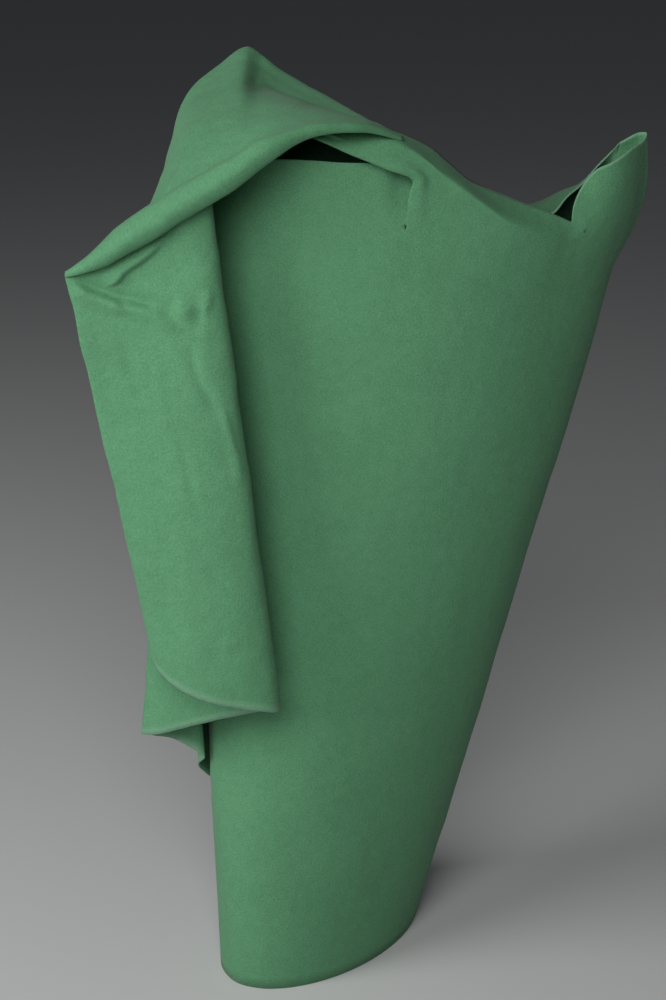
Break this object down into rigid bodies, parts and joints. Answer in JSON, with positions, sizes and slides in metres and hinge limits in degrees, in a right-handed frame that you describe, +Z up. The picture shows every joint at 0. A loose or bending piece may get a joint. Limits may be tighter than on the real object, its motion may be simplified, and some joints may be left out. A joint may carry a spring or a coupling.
{
  "type": "roll of cotton canvas",
  "caption": "Length of plain cotton canvas rolled loosely into a cone and stood on its narrow end, with its outer end folded forward over the mouth and hanging down in front.",
  "frame": {"origin": "middle of the space that the roll takes up, on the floor it stands on", "axes": "+Z up along the roll, -Y to the front, where the loose end hangs, +X to the side where the mouth runs out to a point"},
  "size_m": [0.4776, 0.3099, 0.8371],
  "materials": {
    "canvas": "matt washed cotton canvas in mid green"
  },
  "bodies": {
    "root": {"wound_canvas": "canvas", "loose_end": "canvas"}
  },
  "joints": []
}
